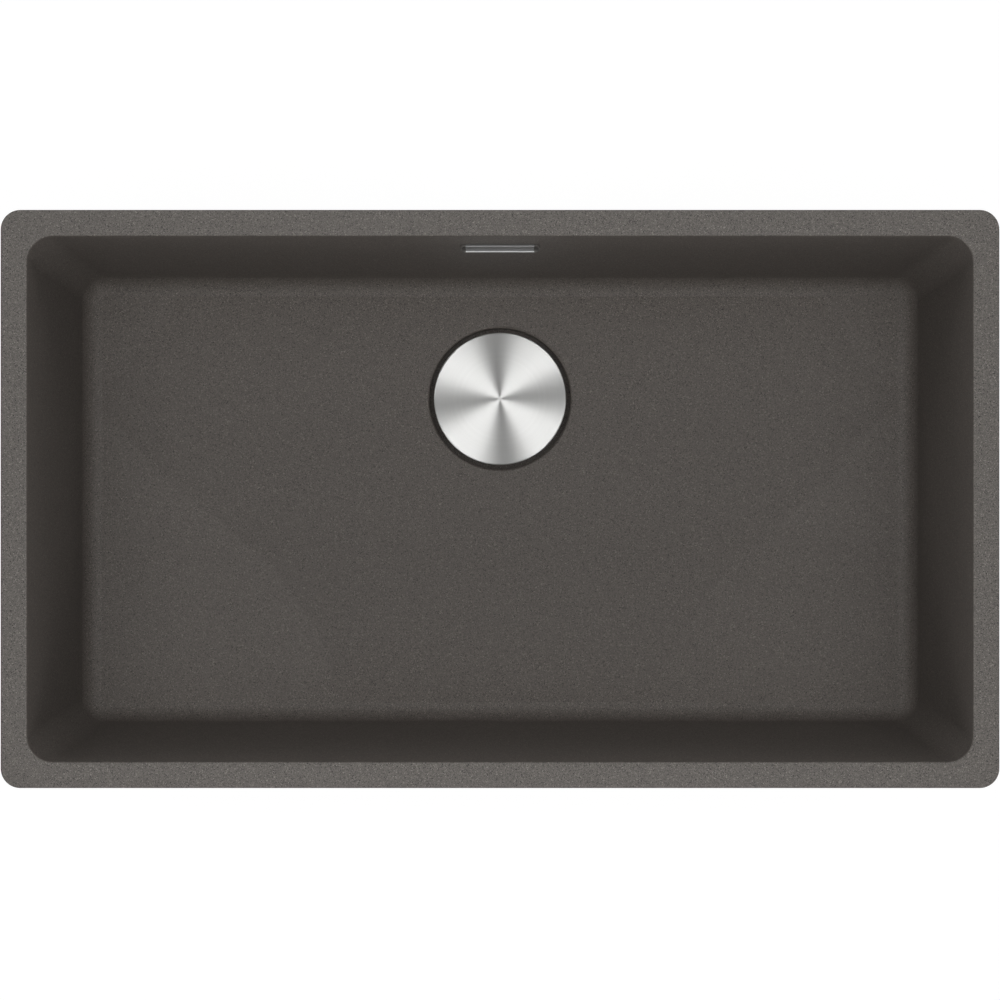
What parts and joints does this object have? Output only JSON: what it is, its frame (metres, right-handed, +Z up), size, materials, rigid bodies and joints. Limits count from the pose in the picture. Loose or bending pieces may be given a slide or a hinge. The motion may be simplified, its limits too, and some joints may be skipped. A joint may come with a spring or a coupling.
{
  "type": "undermount kitchen sink",
  "caption": "Rectangular undermount single-bowl granite composite sink with a covered basket strainer waste set back in the floor and a slot overflow in the back wall.",
  "frame": {"origin": "middle of the bowl's mouth, in the plane of the rim's top face", "axes": "+X to the right along the bowl's length, +Y to the back wall with the overflow, +Z up"},
  "size_m": [0.76, 0.4435, 0.305],
  "materials": {
    "granite": "matt grey-brown granite composite with fine pale and dark specks",
    "cover_steel": "spun stainless steel with concentric grain",
    "trim_steel": "satin stainless steel, bare of any lettering",
    "cup_steel": "bright pressed stainless steel",
    "trim_plastic": "dark grey moulded plastic",
    "waste_plastic": "off-white moulded polypropylene",
    "stem_plastic": "black moulded plastic",
    "stopper_rubber": "black rubber",
    "seal_rubber": "black sealing rubber",
    "brass": "turned brass"
  },
  "bodies": {
    "sink": {"sink_bowl": "granite", "flange_seal": "seal_rubber", "strainer_cup": "cup_steel", "clamp_screw": "cup_steel", "post_ring": "seal_rubber", "body_seal": "seal_rubber", "waste_body": "waste_plastic", "brass_insert": "brass", "overflow_plate": "trim_steel", "overflow_bezel": "trim_plastic", "overflow_gasket": "seal_rubber", "overflow_housing": "waste_plastic", "overflow_screws": "cup_steel", "overflow_duct": "waste_plastic", "upper_duct_seal": "seal_rubber", "lower_duct_seal": "seal_rubber"},
    "basket": {"basket": "cup_steel", "basket_stem": "stem_plastic", "basket_stopper": "stopper_rubber", "stem_nut": "stem_plastic", "cover_grip_ring": "seal_rubber"},
    "cover": {"cover_disc": "cover_steel", "cover_carrier": "stem_plastic"}
  },
  "joints": [
    {"name": "basket_lift", "type": "slide", "parent": "sink", "child": "basket", "axis": [0, 0, 1], "range_m": [0, 0.27]},
    {"name": "cover_lift", "type": "slide", "parent": "basket", "child": "cover", "axis": [0, 0, 1], "range_m": [0, 0.22]}
  ]
}
